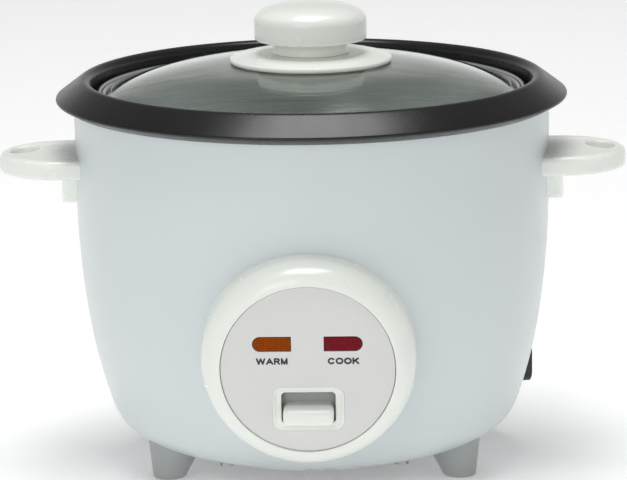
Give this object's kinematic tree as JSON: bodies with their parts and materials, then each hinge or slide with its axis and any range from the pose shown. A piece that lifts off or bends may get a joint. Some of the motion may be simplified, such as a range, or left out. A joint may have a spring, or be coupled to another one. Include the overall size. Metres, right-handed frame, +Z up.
{
  "type": "rice cooker",
  "caption": "Electric rice cooker with a round painted shell, black top ring, glass lid, removable pot, side handles and a front cook and warm lever.",
  "frame": {"origin": "on the surface the cooker stands on, under the middle of the pot", "axes": "+Z up, the control panel faces -Y, the handles point along +X and -X"},
  "size_m": [0.2852, 0.24, 0.2115],
  "materials": {
    "shell_paint": "gloss painted steel, pale cool white",
    "black_ring": "satin black plastic",
    "galvanised": "galvanised sheet",
    "white_gloss": "glossy warm white plastic",
    "face_plastic": "satin light grey plastic",
    "foot_plastic": "satin white plastic",
    "amber_lens": "amber prismatic lens",
    "red_lens": "red prismatic lens",
    "lamp_glass": "neon lamp",
    "screw_steel": "zinc plated steel",
    "cast_aluminium": "cast and turned",
    "element_steel": "heat darkened tube",
    "ferrite": "sintered",
    "spring_steel": "spring wire",
    "brass": "turned",
    "black_plastic": "black moulded plastic",
    "plunger_red": "red moulded plastic",
    "ceramic": "glazed ceramic body",
    "wire_jacket": "silicone sleeve",
    "pot_aluminium": "spun and polished",
    "lid_glass": "tempered, faint green",
    "rim_steel": "polished stainless",
    "seal_rubber": "translucent silicone"
  },
  "bodies": {
    "base": {"outer_shell": "shell_paint", "top_ring": "black_ring", "heat_shield": "galvanised", "bottom_cover": "galvanised", "support_posts": "screw_steel", "post_screws": "screw_steel", "foot_front_right": "foot_plastic", "foot_front_left": "foot_plastic", "foot_rear_left": "foot_plastic", "foot_rear_right": "foot_plastic", "foot_screws": "screw_steel", "handle_right": "white_gloss", "handle_left": "white_gloss", "handle_screws": "screw_steel", "control_bezel": "white_gloss", "control_fascia": "face_plastic", "warm_lens": "amber_lens", "cook_lens": "red_lens", "lamp_holder": "face_plastic", "warm_lamp": "lamp_glass", "cook_lamp": "lamp_glass", "panel_screws": "screw_steel", "heater_plate": "cast_aluminium", "heating_element": "element_steel", "heater_standoffs": "screw_steel", "heater_screws": "screw_steel", "warm_thermostat": "ceramic", "thermal_fuse": "ceramic", "sensor_spring": "spring_steel", "sensor_housing": "galvanised", "pivot_bracket": "galvanised", "bracket_screws": "screw_steel", "pivot_pin": "screw_steel", "microswitch": "black_plastic", "switch_terminals": "brass", "power_inlet": "black_plastic", "inlet_pins": "brass", "supply_wires": "wire_jacket", "lamp_wires": "wire_jacket"},
    "lever": {"lever_button": "white_gloss", "lever_arm": "galvanised"},
    "magnet_rod": {"magnet": "ferrite", "pull_rod": "brass"},
    "switch": {"switch_plunger": "plunger_red"},
    "sensor": {"sensor_cap": "cast_aluminium", "sensor_ferrite": "ferrite", "magnet_spring": "spring_steel"},
    "pot": {"inner_pot": "pot_aluminium"},
    "lid": {"lid_glass": "lid_glass", "lid_rim": "rim_steel", "lid_knob": "white_gloss", "knob_disc": "white_gloss", "knob_seal": "seal_rubber", "knob_screw": "screw_steel", "steam_eyelet": "rim_steel"}
  },
  "joints": [
    {"name": "pot_lift", "type": "slide", "parent": "base", "child": "pot", "axis": [0, 0, 1], "range_m": [0, 0.13]},
    {"name": "lid_lift", "type": "slide", "parent": "pot", "child": "lid", "axis": [0, 0, 1], "range_m": [0, 0.06]},
    {"name": "cook_lever", "type": "hinge", "parent": "base", "child": "lever", "pos_m": [0, -0.06844, 0.038], "axis": [-1, 0, 0], "range_deg": [0, 5.33]},
    {"name": "magnet_drop", "type": "slide", "parent": "base", "child": "magnet_rod", "axis": [0, 0, 1], "range_m": [-0.0064, 0], "deforming": ["magnet_spring"]},
    {"name": "switch_press", "type": "slide", "parent": "base", "child": "switch", "axis": [0, 0, 1], "range_m": [-0.0015, 0]},
    {"name": "sensor_rise", "type": "slide", "parent": "base", "child": "sensor", "axis": [0, 0, 1], "range_m": [0, 0.003], "deforming": ["sensor_spring"]}
  ],
  "couplings": [
    {"joint": "magnet_drop", "follows": "cook_lever", "m_per_rad": -0.0684},
    {"joint": "switch_press", "follows": "cook_lever", "m_per_rad": -0.016},
    {"joint": "sensor_rise", "follows": "pot_lift", "ratio": 0.023}
  ]
}
